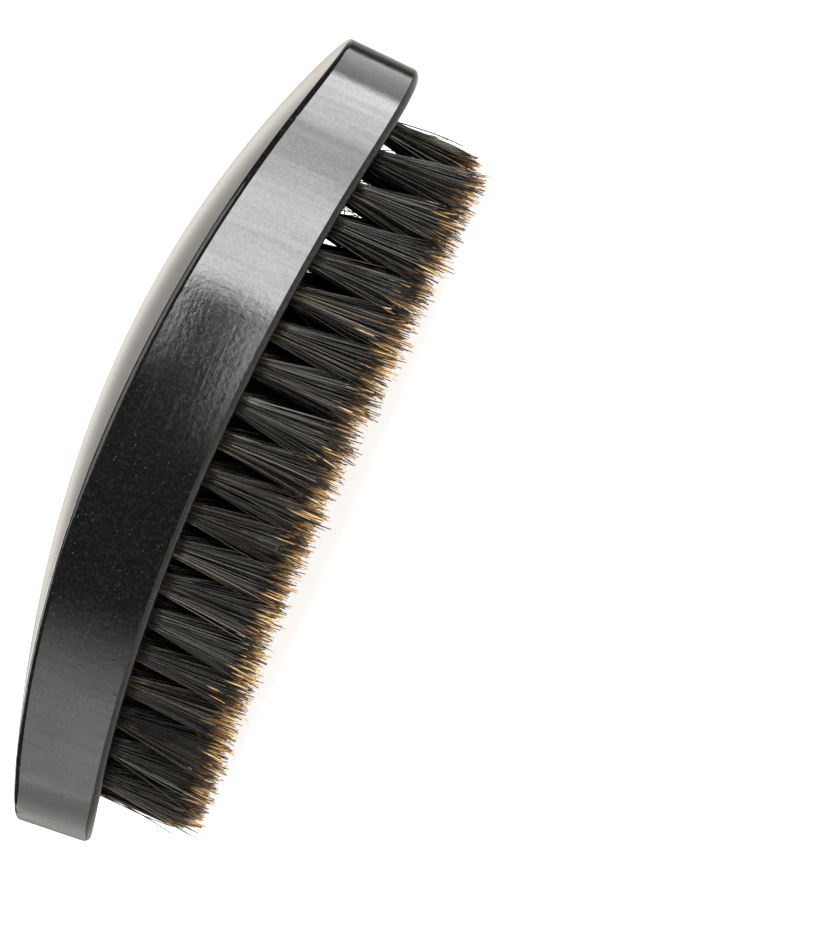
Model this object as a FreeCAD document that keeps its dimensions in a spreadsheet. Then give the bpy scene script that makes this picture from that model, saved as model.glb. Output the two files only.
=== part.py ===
import FreeCAD, Part
import math
import os
import Sketcher
from FreeCAD import Placement, Rotation, Vector

# A palm-held beard brush. It lies with its bristles down: +Z is up, out of the crowned back, X runs along
# the brush, Y across it, and z = 0 is the level of the lowest bristle tips. Lengths are in millimetres.
#
# Block   - one piece of lacquered wood, an oval in plan, bowed lengthwise, with a vertical side wall.
# Tufts   - folded bundles of boar bristle, one in each blind hole, in straight rows across the brush.
# Anchors - the flat staples that lock each folded tuft in its hole.

DIMENSIONS = [
    ("block_length", 120.0, "overall length of the block"),
    ("block_width", 60.0, "overall width of the block"),
    ("side_radius", 120.8, "plan radius of the two long sides"),
    ("back_height", 35.0, "highest point of the back above the tips"),
    ("back_radius", 156.0, "lengthwise radius of the back"),
    ("back_crown", 0.8, "crosswise doming of the back"),
    ("arch_height", 20.6, "highest point of the bristle face above the tips"),
    ("arch_radius", 214.7, "lengthwise radius of the bristle face"),
    ("upper_arris", 0.8, "rounding where the side wall meets the back"),
    ("lower_arris", 1.0, "rounding where the side wall meets the bristle face"),
    ("hole_diameter", 2.9, "drilled hole for a tuft"),
    ("hole_depth", 6.0, "depth of a hole below the bristle face"),
    ("row_pitch", 5.1, "spacing of the crosswise rows"),
    ("edge_margin", 6.15, "from the side wall to the outer hole centres of a row"),
    ("end_row_reach", 5.2, "from the middle to the outer hole centres of the first and last rows"),
    ("least_spacing", 4.55, "closest that two holes of one row may stand"),
    ("tuft_diameter", 2.8, "a tuft where it leaves its hole"),
    ("tip_diameter", 4.9, "widest that a tuft spreads at its tips"),
    ("tip_arc_radius", 281.0, "lengthwise radius of the trimmed tips"),
    ("anchor_width", 2.8, "anchor, across the hole"),
    ("anchor_thickness", 0.35, "anchor, thickness of the flat wire"),
    ("anchor_height", 1.6, "anchor, along the hole"),
    ("anchor_depth", 3.2, "from the bristle face to the anchor's nearer edge"),
    ("fit_gap", 0.05, "clearance of tufts and anchors in their seats"),
]

ROW_COUNT = 21
MIDDLE_ROW = ROW_COUNT // 2
OVERCUT = 15.0  # how far cutting profiles reach past the block

doc = FreeCAD.newDocument("beard_brush")
sheet = doc.addObject("Spreadsheet::Sheet", "Dimensions")
for line, (alias, value, note) in enumerate(DIMENSIONS, start=1):
    sheet.set(f"A{line}", alias)
    sheet.set(f"B{line}", str(value))
    sheet.setAlias(f"B{line}", alias)
    sheet.set(f"C{line}", note)
doc.recompute()


def size(alias):
    return float(getattr(sheet, alias))


def cells(formula):
    """Turn a formula written with bare cell names into one that points at the sheet."""
    for alias in sorted((entry[0] for entry in DIMENSIONS), key=len, reverse=True):
        formula = formula.replace(alias, f"Dimensions.{alias}")
    return formula


def new_body(label):
    body = doc.addObject("PartDesign::Body", label)
    body.Label = label
    body.AllowCompound = True
    return body


def new_sketch(body, name, role, along_normal=None):
    """Add a sketch on one of the body's own origin planes, optionally lifted off it by a formula."""
    sketch = body.newObject("Sketcher::SketchObject", name)
    plane = next(item for item in body.Origin.OriginFeatures if item.Role == role)
    sketch.AttachmentSupport = [(plane, "")]
    sketch.MapMode = "FlatFace"
    if along_normal is not None:
        sketch.setExpression("AttachmentOffset.Base.z", cells(along_normal))
    return sketch


def dimension(sketch, name, formula, kind, *references):
    """Add a named driving dimension as large as what is drawn, and bind it to the sheet."""
    if kind == "Radius":
        drawn = sketch.Geometry[references[0]].Radius
    else:
        start = sketch.getPoint(*references[:2])
        end = sketch.getPoint(*references[2:])
        drawn = end.x - start.x if kind == "DistanceX" else end.y - start.y
    index = sketch.addConstraint(Sketcher.Constraint(kind, *references, drawn))
    sketch.renameConstraint(index, name)
    sketch.setExpression(f"Constraints.{name}", cells(formula))


def polyline(sketch, points):
    """Draw a closed chain of straight lines and join their ends."""
    first = sketch.GeometryCount
    count = len(points)
    for number in range(count):
        start = Vector(*points[number], 0)
        end = Vector(*points[(number + 1) % count], 0)
        sketch.addGeometry(Part.LineSegment(start, end), False)
    for number in range(count):
        following = first + (number + 1) % count
        sketch.addConstraint(Sketcher.Constraint("Coincident", first + number, 2, following, 1))


def edges_on(shape, height_at, tolerance=0.01):
    """Name the edges whose every sampled point lies on the surface z = height_at(x, y)."""
    names = []
    for number, edge in enumerate(shape.Edges, start=1):
        points = edge.discretize(7)
        if all(abs(point.z - height_at(point.x, point.y)) < tolerance for point in points):
            names.append(f"Edge{number}")
    return names


# ---------------------------------------------------------------- shared curves and the layout of the holes

# The radius of the rounded ends follows from the length, the width and the radius of the long sides.
END_RADIUS = (
    "((side_radius ^ 2 - (side_radius - block_width / 2) ^ 2 - (block_length / 2) ^ 2)"
    " / (2 * (side_radius - block_length / 2)))"
)
# The crosswise radius of the back follows from the width and the doming.
CROWN_RADIUS = "((block_width / 2) ^ 2 / (2 * back_crown) + back_crown / 2)"


def end_radius():
    side = size("side_radius")
    half_width = size("block_width") / 2
    half_length = size("block_length") / 2
    return (side ** 2 - (side - half_width) ** 2 - half_length ** 2) / (2 * (side - half_length))


def crown_radius():
    return (size("block_width") / 2) ** 2 / (2 * size("back_crown")) + size("back_crown") / 2


def arch_at(x, y=0.0):
    """Height of the bristle face, which is hollow lengthwise and straight crosswise."""
    return size("arch_height") - size("arch_radius") + math.sqrt(size("arch_radius") ** 2 - x ** 2)


def back_at(x, y):
    """Height of the back: the crosswise crown turned about an axis that runs across the brush."""
    turned = size("back_radius") - crown_radius() + math.sqrt(crown_radius() ** 2 - y ** 2)
    return size("back_height") - size("back_radius") + math.sqrt(turned ** 2 - x ** 2)


def row_position(row):
    return (row - MIDDLE_ROW) * size("row_pitch")


def arch_formula(row):
    """Height of the bristle face above the tips at a row."""
    along = f"({row - MIDDLE_ROW} * row_pitch)"
    return f"(arch_height - arch_radius + sqrt(arch_radius ^ 2 - {along} ^ 2))"


def tip_formula(row):
    """Height at which a row's tips are trimmed: the outermost rows reach down to zero."""
    along = f"({row - MIDDLE_ROW} * row_pitch)"
    outermost = f"({MIDDLE_ROW} * row_pitch)"
    return f"(sqrt(tip_arc_radius ^ 2 - {along} ^ 2) - sqrt(tip_arc_radius ^ 2 - {outermost} ^ 2))"


def tip_height(row):
    radius = size("tip_arc_radius")
    return math.sqrt(radius ** 2 - row_position(row) ** 2) - math.sqrt(radius ** 2 - row_position(0) ** 2)


def row_reach(row):
    """Half the distance between a row's two outermost hole centres: the block's outline, drawn in."""
    if row in (0, ROW_COUNT - 1):
        return size("end_row_reach")
    along = abs(row_position(row))
    end_centre = size("block_length") / 2 - end_radius()
    side_centre = size("side_radius") - size("block_width") / 2
    side = size("side_radius") - size("edge_margin")
    end = end_radius() - size("edge_margin")
    turning = end_centre * side / (size("side_radius") - end_radius())
    if along < turning:
        return math.sqrt(side ** 2 - along ** 2) - side_centre
    return math.sqrt(end ** 2 - (along - end_centre) ** 2)


def row_holes(row):
    """How many holes a row has: an odd number, so that one always stands on the centre line."""
    return 2 * int(row_reach(row) / size("least_spacing")) + 1


def row_spacing(row):
    return 2 * row_reach(row) / (row_holes(row) - 1)


# ---------------------------------------------------------------- the block


def draw_plan(body):
    """The lens between the two long sides; its pointed ends are rounded afterwards."""
    sketch = new_sketch(body, "PlanOutline", "XY_Plane")
    radius = size("side_radius")
    offset = radius - size("block_width") / 2
    reach = math.sqrt(radius ** 2 - offset ** 2)
    opening = math.atan2(offset, reach)
    normal = Vector(0, 0, 1)
    near = Part.Circle(Vector(0, offset, 0), normal, radius)
    far = Part.Circle(Vector(0, -offset, 0), normal, radius)
    sketch.addGeometry(Part.ArcOfCircle(far, opening, math.pi - opening), False)
    sketch.addGeometry(Part.ArcOfCircle(near, math.pi + opening, 2 * math.pi - opening), False)
    sketch.addConstraint(Sketcher.Constraint("Coincident", 0, 1, 1, 2))
    sketch.addConstraint(Sketcher.Constraint("Coincident", 0, 2, 1, 1))
    sketch.addConstraint(Sketcher.Constraint("PointOnObject", 0, 1, -1))
    sketch.addConstraint(Sketcher.Constraint("PointOnObject", 0, 2, -1))
    sketch.addConstraint(Sketcher.Constraint("PointOnObject", 0, 3, -2))
    sketch.addConstraint(Sketcher.Constraint("Equal", 0, 1))
    dimension(sketch, "side_curve", "side_radius", "Radius", 0)
    dimension(sketch, "side_offset", "side_radius - block_width / 2", "DistanceY", 0, 3, -1, 1)
    return sketch


def draw_arch(body):
    """The space under the bristle face, seen from the side."""
    sketch = new_sketch(body, "ArchProfile", "XZ_Plane")
    radius = size("arch_radius")
    centre = size("arch_height") - radius
    side = size("block_length") / 2 + OVERCUT
    opening = math.acos(side / radius)
    circle = Part.Circle(Vector(0, centre, 0), Vector(0, 0, 1), radius)
    sketch.addGeometry(Part.ArcOfCircle(circle, opening, math.pi - opening), False)
    right = Vector(side, centre + radius * math.sin(opening), 0)
    left = Vector(-side, right.y, 0)
    low_left = Vector(-side, -OVERCUT, 0)
    low_right = Vector(side, -OVERCUT, 0)
    sketch.addGeometry(Part.LineSegment(left, low_left), False)
    sketch.addGeometry(Part.LineSegment(low_left, low_right), False)
    sketch.addGeometry(Part.LineSegment(low_right, right), False)
    for first, second in ((0, 1), (1, 2), (2, 3)):
        sketch.addConstraint(Sketcher.Constraint("Coincident", first, 2, second, 1))
    sketch.addConstraint(Sketcher.Constraint("Coincident", 3, 2, 0, 1))
    sketch.addConstraint(Sketcher.Constraint("Vertical", 1))
    sketch.addConstraint(Sketcher.Constraint("Horizontal", 2))
    sketch.addConstraint(Sketcher.Constraint("Vertical", 3))
    sketch.addConstraint(Sketcher.Constraint("PointOnObject", 0, 3, -2))
    dimension(sketch, "arch_curve", "arch_radius", "Radius", 0)
    dimension(sketch, "arch_centre", "arch_radius - arch_height", "DistanceY", 0, 3, -1, 1)
    dimension(sketch, "right_side", f"block_length / 2 + {OVERCUT}", "DistanceX", -1, 1, 2, 2)
    dimension(sketch, "left_side", f"block_length / 2 + {OVERCUT}", "DistanceX", 2, 1, -1, 1)
    dimension(sketch, "underside", f"{OVERCUT}", "DistanceY", 2, 1, -1, 1)
    return sketch


def draw_back(body):
    """The space above the back, seen from the end, with the axis that the back is turned about."""
    sketch = new_sketch(body, "BackProfile", "YZ_Plane")
    radius = crown_radius()
    top = size("back_height")
    side = size("block_width") / 2 + OVERCUT
    opening = math.acos(side / radius)
    circle = Part.Circle(Vector(0, top - radius, 0), Vector(0, 0, 1), radius)
    sketch.addGeometry(Part.ArcOfCircle(circle, opening, math.pi - opening), False)
    right = Vector(side, top - radius + radius * math.sin(opening), 0)
    left = Vector(-side, right.y, 0)
    high_left = Vector(-side, top + OVERCUT, 0)
    high_right = Vector(side, top + OVERCUT, 0)
    sketch.addGeometry(Part.LineSegment(left, high_left), False)
    sketch.addGeometry(Part.LineSegment(high_left, high_right), False)
    sketch.addGeometry(Part.LineSegment(high_right, right), False)
    axis_height = top - size("back_radius")
    axis = Part.LineSegment(Vector(-side, axis_height, 0), Vector(side, axis_height, 0))
    sketch.addGeometry(axis, True)
    for first, second in ((0, 1), (1, 2), (2, 3)):
        sketch.addConstraint(Sketcher.Constraint("Coincident", first, 2, second, 1))
    sketch.addConstraint(Sketcher.Constraint("Coincident", 3, 2, 0, 1))
    sketch.addConstraint(Sketcher.Constraint("Vertical", 1))
    sketch.addConstraint(Sketcher.Constraint("Horizontal", 2))
    sketch.addConstraint(Sketcher.Constraint("Vertical", 3))
    sketch.addConstraint(Sketcher.Constraint("Horizontal", 4))
    sketch.addConstraint(Sketcher.Constraint("PointOnObject", 0, 3, -2))
    dimension(sketch, "crown_curve", CROWN_RADIUS, "Radius", 0)
    dimension(sketch, "crown_centre", f"{CROWN_RADIUS} - back_height", "DistanceY", 0, 3, -1, 1)
    dimension(sketch, "right_side", f"block_width / 2 + {OVERCUT}", "DistanceX", -1, 1, 2, 2)
    dimension(sketch, "left_side", f"block_width / 2 + {OVERCUT}", "DistanceX", 2, 1, -1, 1)
    dimension(sketch, "upper_side", f"back_height + {OVERCUT}", "DistanceY", -1, 1, 2, 1)
    dimension(sketch, "axis_drop", "back_radius - back_height", "DistanceY", 4, 1, -1, 1)
    dimension(sketch, "axis_right", f"block_width / 2 + {OVERCUT}", "DistanceX", -1, 1, 4, 2)
    dimension(sketch, "axis_left", f"block_width / 2 + {OVERCUT}", "DistanceX", 4, 1, -1, 1)
    return sketch


def draw_holes(body, row):
    """One crosswise row of hole circles."""
    sketch = new_sketch(body, f"HoleRow{row + 1:02d}", "XY_Plane")
    along = row_position(row)
    radius = size("hole_diameter") / 2
    for number in range(row_holes(row)):
        across = number * row_spacing(row) - row_reach(row)
        circle = Part.Circle(Vector(along, across, 0), Vector(0, 0, 1), radius)
        sketch.addGeometry(circle, False)
        if number:
            sketch.addConstraint(Sketcher.Constraint("Equal", 0, number))
        sketch.addConstraint(Sketcher.Constraint("DistanceX", -1, 1, number, 3, along))
        sketch.addConstraint(Sketcher.Constraint("DistanceY", -1, 1, number, 3, across))
    dimension(sketch, "hole_radius", "hole_diameter / 2", "Radius", 0)
    return sketch


def check_cut(feature, before):
    """A cut that points away from the solid leaves it unchanged without any error."""
    doc.recompute()
    if feature.Shape.Volume > before - 1.0:
        raise RuntimeError(f"{feature.Name} removed nothing")
    return feature.Shape.Volume


def build_block():
    body = new_body("block")

    pad = body.newObject("PartDesign::Pad", "PlanPad")
    pad.Profile = draw_plan(body)
    pad.setExpression("Length", cells("back_height"))
    doc.recompute()

    ends = body.newObject("PartDesign::Fillet", "RoundedEnds")
    upright = []
    for number, edge in enumerate(pad.Shape.Edges, start=1):
        start, end = edge.Vertexes[0].Point, edge.Vertexes[-1].Point
        if abs(start.z - end.z) > 1 and abs(start.y) < 0.01:
            upright.append(f"Edge{number}")
    ends.Base = (pad, upright)
    ends.setExpression("Radius", cells(END_RADIUS))
    doc.recompute()
    volume = ends.Shape.Volume

    arch = body.newObject("PartDesign::Pocket", "BristleFace")
    arch.Profile = draw_arch(body)
    arch.Type = "Length"
    arch.SideType = "Symmetric"
    arch.setExpression("Length", cells(f"block_width + {OVERCUT}"))
    volume = check_cut(arch, volume)

    back = body.newObject("PartDesign::Groove", "DomedBack")
    profile = draw_back(body)
    back.Profile = profile
    back.ReferenceAxis = (profile, ["Axis0"])
    back.Midplane = True
    back.Angle = 60.0
    volume = check_cut(back, volume)

    upper = body.newObject("PartDesign::Fillet", "UpperArris")
    upper.Base = (back, edges_on(back.Shape, back_at))
    upper.setExpression("Radius", cells("upper_arris"))
    doc.recompute()

    lower = body.newObject("PartDesign::Fillet", "LowerArris")
    lower.Base = (upper, edges_on(upper.Shape, arch_at))
    lower.setExpression("Radius", cells("lower_arris"))
    doc.recompute()
    volume = lower.Shape.Volume

    for row in range(ROW_COUNT):
        holes = body.newObject("PartDesign::Pocket", f"Holes{row + 1:02d}")
        holes.Profile = draw_holes(body, row)
        holes.Type = "Length"
        holes.Reversed = True
        holes.setExpression("Length", cells(f"{arch_formula(row)} + hole_depth"))
        volume = check_cut(holes, volume)
    return body


# ---------------------------------------------------------------- the bristle tufts and their anchors


def row_placement(row):
    return Placement(Vector(row_position(row), -row_reach(row), 0), Rotation())


def repeat_across(body, row, features):
    """Repeat a row's first piece at every hole of the row."""
    pattern = body.newObject("PartDesign::LinearPattern", "AcrossTheBrush")
    pattern.Originals = features
    y_axis = next(item for item in body.Origin.OriginFeatures if item.Role == "Y_Axis")
    pattern.Direction = (y_axis, [""])
    pattern.Length = 2 * row_reach(row)
    pattern.Occurrences = row_holes(row)
    body.Tip = pattern
    return pattern


def build_tuft_row(row):
    """A row of tufts: each a plug in its hole that spreads towards its flat-trimmed tips."""
    body = new_body(f"tuft_row_{row + 1:02d}")
    mouth = arch_formula(row)
    tips = tip_formula(row)
    seat = f"({mouth} + hole_depth - fit_gap)"
    spread = min(size("tip_diameter"), row_spacing(row) - 0.16) / 2

    sketch = new_sketch(body, "TuftSection", "XZ_Plane")
    root = size("tuft_diameter") / 2
    low = tip_height(row)
    middle = arch_at(row_position(row))
    high = middle + size("hole_depth") - size("fit_gap")
    points = [(0, low), (spread, low), (root, middle), (root, high), (0, high)]
    polyline(sketch, points)
    sketch.addConstraint(Sketcher.Constraint("Horizontal", 0))
    sketch.addConstraint(Sketcher.Constraint("Vertical", 2))
    sketch.addConstraint(Sketcher.Constraint("Horizontal", 3))
    sketch.addConstraint(Sketcher.Constraint("PointOnObject", 0, 1, -2))
    sketch.addConstraint(Sketcher.Constraint("PointOnObject", 3, 2, -2))
    sketch.addConstraint(Sketcher.Constraint("DistanceX", -1, 1, 0, 2, spread))
    dimension(sketch, "root_radius", "tuft_diameter / 2", "DistanceX", -1, 1, 2, 1)
    dimension(sketch, "mouth_height", mouth, "DistanceY", -1, 1, 2, 1)
    dimension(sketch, "seat_height", seat, "DistanceY", -1, 1, 2, 2)
    if low > 0.001:
        dimension(sketch, "tip_height", tips, "DistanceY", -1, 1, 0, 2)
    else:
        sketch.addConstraint(Sketcher.Constraint("PointOnObject", 0, 2, -1))

    tuft = body.newObject("PartDesign::Revolution", "Tuft")
    tuft.Profile = sketch
    tuft.ReferenceAxis = (sketch, ["V_Axis"])
    tuft.Angle = 360.0
    doc.recompute()

    slot_sketch = new_sketch(body, "AnchorSlot", "XY_Plane", f"{mouth} + anchor_depth - fit_gap")
    half_long = size("tuft_diameter")
    half_thick = size("anchor_thickness") / 2 + size("fit_gap")
    corners = [(-half_long, -half_thick), (half_long, -half_thick), (half_long, half_thick)]
    polyline(slot_sketch, corners + [(-half_long, half_thick)])
    for line in (0, 2):
        slot_sketch.addConstraint(Sketcher.Constraint("Horizontal", line))
    for line in (1, 3):
        slot_sketch.addConstraint(Sketcher.Constraint("Vertical", line))
    slot_sketch.addConstraint(Sketcher.Constraint("Symmetric", 0, 1, 2, 1, -1, 1))
    dimension(slot_sketch, "slot_length", "2 * tuft_diameter", "DistanceX", 0, 1, 0, 2)
    dimension(slot_sketch, "slot_width", "anchor_thickness + 2 * fit_gap", "DistanceY", 1, 1, 1, 2)

    slot = body.newObject("PartDesign::Pocket", "Slot")
    slot.Profile = slot_sketch
    slot.Type = "Length"
    slot.Reversed = True
    slot.setExpression("Length", cells("anchor_height + 2 * fit_gap"))
    check_cut(slot, tuft.Shape.Volume)

    repeat_across(body, row, [tuft, slot])
    body.Placement = row_placement(row)
    return body


def build_anchor_row(row):
    """A row of anchors: short flat lengths of wire set on edge across the holes."""
    body = new_body(f"anchor_row_{row + 1:02d}")
    sketch = new_sketch(body, "AnchorSection", "XY_Plane", f"{arch_formula(row)} + anchor_depth")
    half_wide = size("anchor_width") / 2
    half_thick = size("anchor_thickness") / 2
    corners = [(-half_wide, -half_thick), (half_wide, -half_thick), (half_wide, half_thick)]
    polyline(sketch, corners + [(-half_wide, half_thick)])
    for line in (0, 2):
        sketch.addConstraint(Sketcher.Constraint("Horizontal", line))
    for line in (1, 3):
        sketch.addConstraint(Sketcher.Constraint("Vertical", line))
    sketch.addConstraint(Sketcher.Constraint("Symmetric", 0, 1, 2, 1, -1, 1))
    dimension(sketch, "wire_width", "anchor_width", "DistanceX", 0, 1, 0, 2)
    dimension(sketch, "wire_thickness", "anchor_thickness", "DistanceY", 1, 1, 1, 2)

    anchor = body.newObject("PartDesign::Pad", "Anchor")
    anchor.Profile = sketch
    anchor.setExpression("Length", cells("anchor_height"))
    doc.recompute()
    repeat_across(body, row, [anchor])
    body.Placement = row_placement(row)
    return body


pieces = [build_block()]
for row in range(ROW_COUNT):
    pieces.append(build_tuft_row(row))
    pieces.append(build_anchor_row(row))
doc.recompute()

for item in doc.Objects:
    if "Invalid" in item.State or "Error" in item.State:
        raise RuntimeError(f"{item.Label} did not recompute: {item.State}")
for piece in pieces:
    if piece.Shape.isNull() or not piece.Shape.isValid():
        raise RuntimeError(f"{piece.Label} has no valid shape")

os.makedirs("parts", exist_ok=True)
for piece in pieces:
    piece.Shape.exportStep(f"parts/{piece.Label}.step")
    box = piece.Shape.BoundBox
    print(piece.Label, len(piece.Shape.Solids), "solids", round(piece.Shape.Volume, 1), "mm3",
          [round(value, 2) for value in (box.XMin, box.XMax, box.YMin, box.YMax, box.ZMin, box.ZMax)])
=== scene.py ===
import math

import bpy
import numpy as np
from mathutils import Matrix, Vector


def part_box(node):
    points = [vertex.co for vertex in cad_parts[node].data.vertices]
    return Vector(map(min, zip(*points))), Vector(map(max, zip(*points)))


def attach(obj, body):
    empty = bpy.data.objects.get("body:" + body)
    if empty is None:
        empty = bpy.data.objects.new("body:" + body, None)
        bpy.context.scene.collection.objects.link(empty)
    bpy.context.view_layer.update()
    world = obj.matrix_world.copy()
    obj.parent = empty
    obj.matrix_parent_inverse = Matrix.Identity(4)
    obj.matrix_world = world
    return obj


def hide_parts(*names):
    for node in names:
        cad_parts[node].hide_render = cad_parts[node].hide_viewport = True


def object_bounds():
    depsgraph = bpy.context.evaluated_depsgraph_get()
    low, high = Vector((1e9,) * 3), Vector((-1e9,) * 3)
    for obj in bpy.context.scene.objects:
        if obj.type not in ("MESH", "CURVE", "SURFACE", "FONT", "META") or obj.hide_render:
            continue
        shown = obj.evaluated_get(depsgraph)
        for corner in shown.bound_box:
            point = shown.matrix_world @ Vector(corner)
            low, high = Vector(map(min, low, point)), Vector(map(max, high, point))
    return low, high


# A beard brush lying on its bristles. The CAD gives the block, the staples and the place of every tuft. This
# script grows the hairs of each tuft, finishes the lacquer and the steel, and sets up the studio. Lengths
# are in metres.

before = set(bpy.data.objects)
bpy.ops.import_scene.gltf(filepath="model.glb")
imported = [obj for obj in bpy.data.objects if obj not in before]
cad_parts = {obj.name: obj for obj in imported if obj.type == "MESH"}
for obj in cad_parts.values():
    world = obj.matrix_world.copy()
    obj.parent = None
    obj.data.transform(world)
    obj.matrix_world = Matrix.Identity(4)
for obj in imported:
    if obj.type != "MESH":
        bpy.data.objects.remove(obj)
cad_low, cad_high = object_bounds()
MM = 0.001
HALF_LENGTH = cad_high.x
ROWS = sorted(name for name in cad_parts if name.startswith("tuft_row_"))


# ---------------------------------------------------------------- camera

CAMERA_AT = Vector((0.03566, -0.22673, 0.04334))
CAMERA_RIGHT = Vector((0.4052, -0.1616, -0.8998))
CAMERA_UP = Vector((0.9064, 0.1999, 0.3722))
LENS = 61.1  # millimetres


def make_camera():
    data = bpy.data.cameras.new("camera")
    data.lens = LENS
    data.clip_start = 0.01
    data.clip_end = 50
    camera = bpy.data.objects.new("camera", data)
    bpy.context.scene.collection.objects.link(camera)
    right = CAMERA_RIGHT.normalized()
    back = right.cross(CAMERA_UP).normalized()
    up = back.cross(right)
    turn = Matrix((right, up, back)).transposed()
    camera.matrix_world = Matrix.Translation(CAMERA_AT) @ turn.to_4x4()
    bpy.context.scene.camera = camera


# ---------------------------------------------------------------- helpers for node materials


def new_material(name):
    material = bpy.data.materials.new(name)
    material.use_nodes = True
    tree = material.node_tree
    return material, tree, tree.nodes["Principled BSDF"]


def add(tree, kind, inputs=None, **settings):
    """Add a node, set its properties and its inputs, and link any input given as a socket."""
    node = tree.nodes.new(kind)
    for key, value in settings.items():
        setattr(node, key, value)
    for key, value in (inputs or {}).items():
        if isinstance(value, bpy.types.NodeSocket):
            tree.links.new(value, node.inputs[key])
        else:
            node.inputs[key].default_value = value
    return node


def ramp(tree, factor, stops):
    """A colour ramp. Each stop is a position and a grey level or a colour."""
    node = add(tree, "ShaderNodeValToRGB", {"Fac": factor})
    elements = node.color_ramp.elements
    while len(elements) < len(stops):
        elements.new(0.5)
    for element, (position, tone) in zip(elements, stops):
        element.position = position
        element.color = (*tone, 1) if isinstance(tone, tuple) else (tone, tone, tone, 1)
    return node.outputs["Color"]


def maths(tree, operation, *values, clamp=False):
    node = tree.nodes.new("ShaderNodeMath")
    node.operation = operation
    node.use_clamp = clamp
    for number, value in enumerate(values):
        if isinstance(value, bpy.types.NodeSocket):
            tree.links.new(value, node.inputs[number])
        else:
            node.inputs[number].default_value = value
    return node.outputs[0]


def times(tree, first, second):
    return maths(tree, "MULTIPLY", first, second)


def weighted(tree, *terms):
    """Add up fields, each times its weight."""
    total = 0.0
    for field, weight in terms:
        total = maths(tree, "MULTIPLY_ADD", field, weight, total)
    return total


def mix(tree, factor, first, second):
    return add(tree, "ShaderNodeMix", {0: factor, 6: first, 7: second}, data_type="RGBA").outputs[2]


def noise(tree, vector, scale, detail=2.0, roughness=0.5):
    inputs = {"Vector": vector, "Scale": scale, "Detail": detail, "Roughness": roughness}
    return add(tree, "ShaderNodeTexNoise", inputs).outputs["Fac"]


def stretched(tree, vector, scale, turn=(0, 0, 0)):
    inputs = {"Vector": vector, "Scale": scale, "Rotation": turn}
    return add(tree, "ShaderNodeMapping", inputs).outputs["Vector"]


def specks(tree, place, scale, share, size):
    """Round specks scattered at random: one in some of the cells of a Voronoi pattern."""
    cells = add(tree, "ShaderNodeTexVoronoi", {"Vector": place, "Scale": scale, "Randomness": 1.0})
    pick = add(tree, "ShaderNodeSeparateColor", {"Color": cells.outputs["Color"]})
    chosen = maths(tree, "LESS_THAN", pick.outputs["Red"], share)
    reach = maths(tree, "MULTIPLY_ADD", pick.outputs["Green"], size, 0.35 * size)
    inside = maths(tree, "SUBTRACT", reach, cells.outputs["Distance"])
    soft = maths(tree, "DIVIDE", inside, 0.4 * size, clamp=True)
    return times(tree, soft, chosen)


def object_place(tree):
    return add(tree, "ShaderNodeTexCoord").outputs["Object"]


def add_relief(tree, shader, height, strength, depth):
    bump = add(tree, "ShaderNodeBump", {"Height": height, "Strength": strength, "Distance": depth})
    tree.links.new(bump.outputs["Normal"], shader.inputs["Normal"])


# ---------------------------------------------------------------- black lacquer

LACQUER_IOR = 1.52
RELIEF_DEPTH = 0.05 * MM


def lacquer_marks(tree, place):
    """The fields that the lacquer's colour, gloss and relief are made of."""
    patches = noise(tree, place, 55, 2.0, 0.5)
    streaks = noise(tree, stretched(tree, place, (30, 30, 2400), (0.1, 0.22, 0.0)), 1.0, 1.0, 0.3)
    return {
        "peel": noise(tree, place, 1700, 2.0, 0.6),
        "waves": noise(tree, place, 260, 3.0, 0.6),
        "lengthwise": noise(tree, stretched(tree, place, (35, 500, 1500)), 1.0, 3.0, 0.6),
        "crosswise": noise(tree, stretched(tree, place, (1300, 60, 60), (0.0, 0.12, 0.0)), 1.0, 3.0, 0.6),
        "patches": patches,
        "scratches": times(tree, ramp(tree, streaks, [(0.0, 0), (0.73, 0), (0.76, 1), (1.0, 1)]), patches),
        "pores": noise(tree, place, 2600, 2.0, 0.7),
        "haze": ramp(tree, noise(tree, place, 2100, 3.0, 0.75), [(0.48, 0), (0.72, 0.012)]),
        "nibs": specks(tree, place, 420, 0.05, 0.16),
        "craters": specks(tree, place, 110, 0.04, 0.24),
        "dust": specks(tree, place, 900, 0.13, 0.085),
        "fine_dust": specks(tree, place, 2300, 0.34, 0.20),
    }


def make_lacquer():
    """Black lacquer sprayed over wood: orange peel, faint sanding marks, dust, craters and fine scratches."""
    material, tree, shader = new_material("black_lacquer")
    marks = lacquer_marks(tree, object_place(tree))

    def blend(**weights):
        return weighted(tree, *((marks[name], weight) for name, weight in weights.items()))

    body = ramp(tree, marks["patches"], [(0.3, (0.0014, 0.0015, 0.0017)), (0.7, (0.0030, 0.0030, 0.0029))])
    dusty = blend(dust=0.12, fine_dust=0.05, scratches=0.008, haze=1.0)
    tree.links.new(mix(tree, dusty, body, (0.8, 0.78, 0.74, 1)), shader.inputs["Base Color"])

    worn = maths(tree, "ADD", blend(patches=0.04, lengthwise=0.04), 0.06)
    tree.links.new(worn, shader.inputs["Roughness"])
    shine = ramp(tree, blend(pores=0.55, crosswise=0.45), [(0.36, 0.78), (0.58, 1.0)])
    tree.links.new(shine, shader.inputs["Specular Tint"])
    shader.inputs["IOR"].default_value = LACQUER_IOR

    relief = blend(
        peel=0.55, waves=0.8, lengthwise=0.4, crosswise=0.25,
        craters=-5.0, scratches=0.3, dust=0.5, nibs=1.5,
    )
    add_relief(tree, shader, relief, 0.3, RELIEF_DEPTH)
    return material


# ---------------------------------------------------------------- steel of the staples


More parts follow.
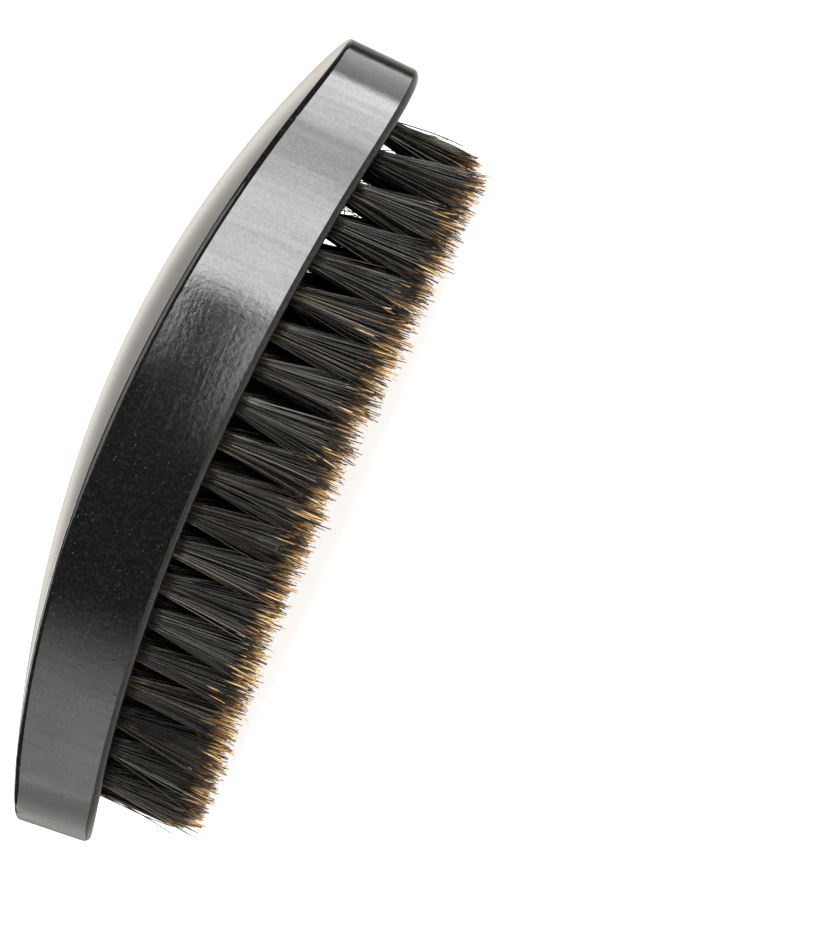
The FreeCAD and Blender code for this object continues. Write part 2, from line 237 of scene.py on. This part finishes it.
def make_steel():
    """Drawn steel strip: fine lines along it and a few dull patches."""
    material, tree, shader = new_material("steel_wire")
    place = object_place(tree)
    drawn = noise(tree, stretched(tree, place, (9000, 400, 9000)), 1.0, 2.0, 0.6)
    dull = noise(tree, place, 700, 2.0, 0.5)
    tone = ramp(tree, drawn, [(0.3, (0.42, 0.42, 0.41)), (0.7, (0.62, 0.61, 0.59))])
    tone = mix(tree, times(tree, dull, 0.4), tone, (0.30, 0.28, 0.26, 1))
    tree.links.new(tone, shader.inputs["Base Color"])
    tree.links.new(maths(tree, "MULTIPLY_ADD", dull, 0.25, 0.22), shader.inputs["Roughness"])
    shader.inputs["Metallic"].default_value = 1.0
    add_relief(tree, shader, drawn, 0.3, 0.02 * MM)
    return material


# ---------------------------------------------------------------- boar bristle, the material

TIP_START = 0.785  # earliest place along a hair where its pale tip begins
TIP_START_RANGE = 0.24
TIP_BLEND = 0.08


def reshuffled(tree, strand, factor):
    """Another random number from 0 to 1 for each hair, made from its strand number."""
    return maths(tree, "FRACT", times(tree, strand, factor))


def make_bristle():
    """Boar hair: nearly black shafts with a grey shine, some of them brown, and golden tips."""
    material, tree, shader = new_material("boar_bristle")
    along = add(tree, "ShaderNodeAttribute", attribute_name="along").outputs["Fac"]
    strand = add(tree, "ShaderNodeAttribute", attribute_name="strand").outputs["Fac"]

    shaft = ramp(tree, strand, [
        (0.0, (0.0045, 0.0048, 0.005)),
        (0.60, (0.009, 0.0088, 0.0085)),
        (0.92, (0.016, 0.014, 0.012)),
        (0.965, (0.040, 0.024, 0.014)),
        (1.0, (0.120, 0.072, 0.034)),
    ])
    gold = ramp(tree, reshuffled(tree, strand, 17.0), [
        (0.0, (0.07, 0.030, 0.010)),
        (0.35, (0.30, 0.145, 0.040)),
        (0.7, (0.66, 0.39, 0.13)),
        (1.0, (0.90, 0.68, 0.36)),
    ])
    start = maths(tree, "MULTIPLY_ADD", reshuffled(tree, strand, 41.0), TIP_START_RANGE, TIP_START)
    tipped = maths(tree, "DIVIDE", maths(tree, "SUBTRACT", along, start), TIP_BLEND, clamp=True)
    blotch = noise(tree, object_place(tree), 1500, 1.0, 0.5)
    tipped = maths(tree, "MULTIPLY", tipped, maths(tree, "MULTIPLY_ADD", blotch, 0.6, 0.6), clamp=True)
    tree.links.new(mix(tree, tipped, shaft, gold), shader.inputs["Base Color"])

    dry = maths(tree, "MULTIPLY_ADD", reshuffled(tree, strand, 29.0), 0.26, 0.12)
    tree.links.new(maths(tree, "MULTIPLY_ADD", tipped, 0.25, dry), shader.inputs["Roughness"])
    shine = ramp(tree, reshuffled(tree, strand, 53.0), [
        (0.0, (0.22, 0.21, 0.18)),
        (0.55, (0.50, 0.48, 0.42)),
        (1.0, (1.0, 0.97, 0.88)),
    ])
    tree.links.new(shine, shader.inputs["Specular Tint"])
    shader.inputs["IOR"].default_value = 1.5
    shader.inputs["Specular IOR Level"].default_value = 0.68
    return material


# ---------------------------------------------------------------- boar bristle, the hairs

HAIR_SIDES = 4  # so a hair's end caps are faces with four corners, like its walls
HAIR_RINGS = 6
HAIR_RADIUS = 0.098 * MM
RADIUS_RANGE = (0.8, 1.2)
TAPER_AT, TAPER = (0, 0.75, 1.0), (1.0, 0.95, 0.6)
HAIRS_PER_TUFT = 140
LOCKS_PER_TUFT = 34
LOCK_HOLD = 0.74  # how closely a hair keeps to its lock, from 0 to 1
BUNDLE_RADIUS = 1.25 * MM
SPREAD_RADIUS = 4.3 * MM
HAIR_LEAN = 0.28 * MM  # each hair's own lean
HAIR_LEAN_FREEDOM = 3  # degrees of freedom of its spread: few, so that some hairs lean far
TUFT_LEAN = 0.25 * MM
FAN_POWER = 1.12  # above 1, hairs curve outward a little towards their tips
BOW = 0.2 * MM
BOW_POWER = 1.8  # above 1, the bow is deepest nearer the tip than the root
FLOOR_GAP = 0.02 * MM
STAPLE_GAP = 1.0 * MM  # staples of two neighbouring tufts are further apart than this
FIRST_SEED = 1000
SIDE_GUIDE = np.array([1.0, 0.31, 0.0])  # any direction that no hair runs along
PLUG_DEPTH = 5.95 * MM  # how far a CAD tuft reaches into the block
ROOT_DEPTH = 1.5 * MM  # how far the visible hairs start inside the block

# The hairs at the two ends lean outward less, and the tips are rounded off there. Places are shares of the
# block's half length.
END_FROM, END_RUN = 0.80, 0.05
END_LEAN_LOSS = 0.62
ROUND_FROM, ROUND_RUN = 0.82, 0.055
ROUND_RISE = 2.2 * MM

# How far above the trimmed line the tips end. Below 0, they reach past it.
TRIM_MEAN, TRIM_SPREAD = -0.2 * MM, 0.7 * MM
LONG_SHARE, LONG_EXTRA = 0.06, 1.8 * MM
SHORT_SHARE, SHORT_LOSS = 0.12, 4.0 * MM


def tufts_of(node):
    """Find a row's tufts from the staples that hold them: their axes, and the height of the block's face."""
    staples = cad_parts[node.replace("tuft", "anchor")].data
    points = np.array([vertex.co for vertex in staples.vertices])
    across = np.sort(points[:, 1])
    breaks = np.where(np.diff(across) > STAPLE_GAP)[0]
    starts = np.concatenate([[0], breaks + 1])
    ends = np.concatenate([breaks, [len(across) - 1]])
    centre_x = (points[:, 0].max() + points[:, 0].min()) / 2
    centres = [(centre_x, (across[first] + across[last]) / 2) for first, last in zip(starts, ends)]
    return centres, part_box(node)[1].z - PLUG_DEPTH


def in_disc(rng, count):
    """Points spread evenly over a disc of radius 1."""
    reach = np.sqrt(rng.random(count))
    angle = rng.random(count) * 2 * np.pi
    return np.stack([np.cos(angle), np.sin(angle)], axis=1) * reach[:, None]


def ramp_up(value, start, run):
    """0 up to start, then up to 1 over run. Both are shares of the block's half length."""
    return np.clip((value - start * HALF_LENGTH) / (run * HALF_LENGTH), 0, 1)


def spread(rng, x0):
    """Where each hair of a tuft starts and how far its tip leans, both sideways from the tuft's axis."""
    lock = in_disc(rng, LOCKS_PER_TUFT)[rng.integers(0, LOCKS_PER_TUFT, HAIRS_PER_TUFT)]
    unit = LOCK_HOLD * lock + (1 - LOCK_HOLD) * in_disc(rng, HAIRS_PER_TUFT)
    fan = unit * SPREAD_RADIUS + rng.standard_t(HAIR_LEAN_FREEDOM, (HAIRS_PER_TUFT, 2)) * HAIR_LEAN
    fan += rng.normal(0, TUFT_LEAN, 2)
    outward = np.sign(x0) * fan[:, 0]
    kept = 1 - END_LEAN_LOSS * ramp_up(abs(x0), END_FROM, END_RUN)
    fan[:, 0] = np.where(outward > 0, fan[:, 0] * kept, fan[:, 0])
    return unit * BUNDLE_RADIUS, fan


def tip_heights(rng, tip_x, tip_line):
    """Tips follow the trimmed line, with some hairs longer, some much shorter, and the ends rounded off."""
    trim = rng.normal(TRIM_MEAN, TRIM_SPREAD, HAIRS_PER_TUFT)
    stray = rng.random(HAIRS_PER_TUFT)
    trim = np.where(stray < LONG_SHARE, -rng.random(HAIRS_PER_TUFT) * LONG_EXTRA, trim)
    trim = np.where(stray > 1 - SHORT_SHARE, rng.random(HAIRS_PER_TUFT) * SHORT_LOSS, trim)
    rounding = ramp_up(np.abs(tip_x), ROUND_FROM, ROUND_RUN)
    return np.interp(tip_x, *tip_line) + trim + rounding ** 2 * ROUND_RISE


def grow_tuft(rng, axis_at, mouth, tip_line):
    """One tuft's hairs: their paths, radii, the place of each ring along the hair, and strand numbers."""
    root, fan = spread(rng, axis_at[0])
    bow = rng.normal(0, BOW, (HAIRS_PER_TUFT, 2))
    tip_z = tip_heights(rng, axis_at[0] + fan[:, 0], tip_line)

    steps = np.linspace(0, 1, HAIR_RINGS)
    ease = steps ** FAN_POWER
    arch = np.sin(np.pi * steps ** BOW_POWER)
    path = np.zeros((HAIRS_PER_TUFT, HAIR_RINGS, 3))
    for axis, centre in enumerate(axis_at):
        path[:, :, axis] = (
            centre
            + root[:, axis, None] * (1 - ease)
            + fan[:, axis, None] * ease
            + bow[:, axis, None] * arch
        )
    sunk = mouth + ROOT_DEPTH
    path[:, :, 2] = sunk + (tip_z[:, None] - sunk) * steps

    thickness = HAIR_RADIUS * rng.uniform(*RADIUS_RANGE, HAIRS_PER_TUFT)
    taper = np.interp(steps, TAPER_AT, TAPER)
    along = np.repeat(steps[None, :], HAIRS_PER_TUFT, axis=0)
    return path, thickness[:, None] * taper, along, rng.random(HAIRS_PER_TUFT)


def skin_hairs(paths, radii, along, strand):
    """Skin many hairs at once. paths is hairs x rings x 3; radii and along are hairs x rings."""
    count = len(paths)
    tangent = np.gradient(paths, axis=1)
    tangent /= np.linalg.norm(tangent, axis=2, keepdims=True)
    side = np.cross(tangent, SIDE_GUIDE)
    side /= np.linalg.norm(side, axis=2, keepdims=True)
    other = np.cross(tangent, side)
    turn = np.arange(HAIR_SIDES) * 2 * np.pi / HAIR_SIDES
    ring = (
        side[:, :, None, :] * np.cos(turn)[None, None, :, None]
        + other[:, :, None, :] * np.sin(turn)[None, None, :, None]
    )
    points = paths[:, :, None, :] + ring * radii[:, :, None, None]

    corner = np.arange(count * HAIR_RINGS * HAIR_SIDES).reshape(count, HAIR_RINGS, HAIR_SIDES)
    beside = np.roll(corner, -1, axis=2)
    walls = np.stack([corner[:, :-1], beside[:, :-1], beside[:, 1:], corner[:, 1:]], axis=-1)
    caps = [corner[:, -1], corner[:, 0][:, ::-1]]
    faces = np.concatenate([walls.reshape(-1, 4), *caps])
    along_points = np.repeat(along.reshape(-1), HAIR_SIDES)
    strand_points = np.repeat(strand, HAIR_RINGS * HAIR_SIDES)
    return points.reshape(-1, 3), faces, along_points, strand_points


def mesh_from(name, points, faces, along, strand):
    mesh = bpy.data.meshes.new(name)
    mesh.vertices.add(len(points))
    mesh.vertices.foreach_set("co", points.astype(np.float32).ravel())
    mesh.loops.add(faces.size)
    mesh.loops.foreach_set("vertex_index", faces.astype(np.int32).ravel())
    mesh.polygons.add(len(faces))
    mesh.polygons.foreach_set("loop_start", np.arange(0, faces.size, faces.shape[1], dtype=np.int32))
    mesh.polygons.foreach_set("use_smooth", np.ones(len(faces), dtype=bool))
    mesh.update(calc_edges=True)
    for label, values in (("along", along), ("strand", strand)):
        attribute = mesh.attributes.new(label, "FLOAT", "POINT")
        attribute.data.foreach_set("value", values.astype(np.float32))
    return mesh


def grow_row(node, number, material, tip_line):
    """Replace one CAD row of tufts by its hairs."""
    rng = np.random.default_rng(FIRST_SEED + number)
    centres, mouth = tufts_of(node)
    tufts = [grow_tuft(rng, centre, mouth, tip_line) for centre in centres]
    paths, radii, along, strand = (np.concatenate(part) for part in zip(*tufts))
    paths[:, :, 2] = np.maximum(paths[:, :, 2], radii + FLOOR_GAP)
    mesh = mesh_from(f"bristles_{number:02d}", *skin_hairs(paths, radii, along, strand))
    mesh.materials.append(material)
    piece = bpy.data.objects.new(f"bristles_{number:02d}", mesh)
    bpy.context.scene.collection.objects.link(piece)
    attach(piece, "root")
    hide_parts(node)


def grow_bristles():
    material = make_bristle()
    lows = []
    for node in ROWS:
        low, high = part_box(node)
        lows.append(((low.x + high.x) / 2, low.z))
    tip_line = np.array(sorted(lows)).T
    for number, node in enumerate(ROWS, start=1):
        grow_row(node, number, material, tip_line)


def finish_nodes(prefix, material):
    """Give a material to the CAD nodes whose names start with prefix."""
    for name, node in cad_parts.items():
        if name.startswith(prefix):
            for slot in node.material_slots:
                slot.material = material


# ---------------------------------------------------------------- studio

LEAST_FADE = 0.001
AIM = Vector((0, 0, 0.02))
WARM = (1, 0.97, 0.94)


def fade(tree, along, near, far):
    """Rise from 0 to 1 over the first part of a panel, and fall back to 0 over its last part."""
    kind = "ShaderNodeMapRange"
    rise = add(tree, kind, {0: along, 1: 0.0, 2: max(near, LEAST_FADE)}, interpolation_type="SMOOTHSTEP")
    fall = add(tree, kind, {0: along, 1: 1.0, 2: 1 - max(far, LEAST_FADE)}, interpolation_type="SMOOTHSTEP")
    return times(tree, rise.outputs[0], fall.outputs[0])


def panel(name, azimuth, elevation, distance, size, radiance, sides=(0, 0), ends=(0, 0), tint=(1, 1, 1)):
    """A soft box at a direction from the brush. Azimuth 0 is in front (-Y) and 90 is at +X.

    It dims towards its edges over these shares of its width (sides) and of its height (ends), and its cloth
    is a little uneven.
    """
    light = bpy.data.lights.new(name, "AREA")
    light.shape = "RECTANGLE"
    light.size, light.size_y = size
    light.energy = radiance * math.pi * light.size * light.size_y
    light.color = tint
    light.use_nodes = True
    tree = light.node_tree
    place = add(tree, "ShaderNodeNewGeometry").outputs["Parametric"]
    split = add(tree, "ShaderNodeSeparateXYZ", {"Vector": place})
    cloth = noise(tree, stretched(tree, place, (light.size, light.size_y, 1)), 55, 1.0, 0.5)
    edges = times(tree, fade(tree, split.outputs["X"], *sides), fade(tree, split.outputs["Y"], *ends))
    strength = times(tree, edges, maths(tree, "ADD", cloth, 0.5))
    tree.links.new(strength, tree.nodes["Emission"].inputs["Strength"])
    lamp = bpy.data.objects.new(name, light)
    bpy.context.scene.collection.objects.link(lamp)
    a, e = math.radians(azimuth), math.radians(elevation)
    direction = Vector((math.sin(a) * math.cos(e), -math.cos(a) * math.cos(e), math.sin(e)))
    lamp.location = AIM + direction * distance
    lamp.rotation_euler = direction.to_track_quat("Z", "Y").to_euler()
    lamp.visible_camera = False


def make_world():
    """White all round for the camera. For the rest, bright behind and below the brush and dim elsewhere."""
    world = bpy.data.worlds.new("studio")
    bpy.context.scene.world = world
    world.use_nodes = True
    tree = world.node_tree
    direction = add(tree, "ShaderNodeTexCoord").outputs["Generated"]
    split = add(tree, "ShaderNodeSeparateXYZ", {"Vector": direction})
    depth = maths(tree, "MULTIPLY_ADD", split.outputs["Y"], 0.5, 0.5)
    height = maths(tree, "MULTIPLY_ADD", split.outputs["Z"], 0.5, 0.5)
    behind = ramp(tree, depth, [(0.0, 0.15), (0.90, 0.10), (0.965, 0.8), (0.985, 1.0)])
    levels = ramp(tree, height, [
        (0.3, 0.95), (0.49, 0.72), (0.522, 1.15), (0.535, 0.88), (0.547, 0.60), (0.57, 0.39), (0.65, 1.0),
    ])
    below = ramp(tree, height, [(0.0, 0.9), (0.30, 0.7), (0.42, 0.0), (1.0, 0.0)])
    room = maths(tree, "MULTIPLY_ADD", behind, levels, below)
    warm = {"Red": room, "Green": times(tree, room, 0.955), "Blue": times(tree, room, 0.88)}
    room = add(tree, "ShaderNodeCombineColor", warm).outputs["Color"]
    ray = add(tree, "ShaderNodeLightPath").outputs["Is Camera Ray"]
    background = tree.nodes["Background"]
    tree.links.new(mix(tree, ray, room, (1, 1, 1, 1)), background.inputs["Color"])
    background.inputs["Strength"].default_value = 1.0


def make_floor():
    mesh = bpy.data.meshes.new("floor")
    half = 3.0
    corners = [(-half, -half, 0), (half, -half, 0), (half, half, 0), (-half, half, 0)]
    mesh.from_pydata(corners, [], [(0, 1, 2, 3)])
    floor = bpy.data.objects.new("floor", mesh)
    bpy.context.scene.collection.objects.link(floor)
    material, _, shader = new_material("pale_floor")
    shader.inputs["Base Color"].default_value = (0.9, 0.9, 0.9, 1)
    shader.inputs["Roughness"].default_value = 0.6
    shader.inputs["Emission Color"].default_value = (1, 1, 1, 1)
    shader.inputs["Emission Strength"].default_value = 0.85
    mesh.materials.append(material)
    floor.visible_glossy = False
    floor.visible_shadow = False


def make_lights():
    panel("key_box", 31, -2, 0.60, (0.299, 0.15), 13.8, sides=(0.21, 0.33))
    panel("band_box", 48, -4, 0.60, (0.255, 0.19), 8.5, sides=(0.375, 0.375))
    panel("side_box", 74.5, -4, 0.60, (0.522, 0.19), 12.5, sides=(0.19, 0.21))
    panel("far_sheet", 110, -4, 0.60, (0.485, 0.19), 2.4, sides=(0.23, 0.1))
    panel("low_strip", 7.5, -6.7, 0.60, (0.355, 0.037), 6.2, sides=(0.75, 0.15), ends=(0, 0.2))
    panel("high_strip", 12.5, -0.9, 0.60, (0.242, 0.036), 9.0, sides=(0.75, 0.2), ends=(0.35, 0))
    panel("end_sheet", -61.5, -1, 0.50, (0.543, 0.24), 2.9, sides=(0.30, 0.39), ends=(0, 0.4), tint=WARM)
    panel("end_sheet_far", -115, -4, 0.50, (0.70, 0.17), 1.3, sides=(0.6, 0.14), tint=WARM)
    panel("top_box", 20, 75, 0.80, (0.90, 0.90), 2.5)
    panel("rim_box", -100, 48, 0.80, (0.50, 0.40), 4.0, sides=(0.2, 0.2), ends=(0.2, 0.2))
    panel("back_box", 215, 30, 0.80, (0.50, 0.40), 4.0, sides=(0.2, 0.2), ends=(0.2, 0.2))


make_camera()
make_world()
make_floor()
make_lights()
bpy.context.scene.view_settings.view_transform = "Standard"

finish_nodes("block", make_lacquer())
finish_nodes("anchor_row_", make_steel())
grow_bristles()
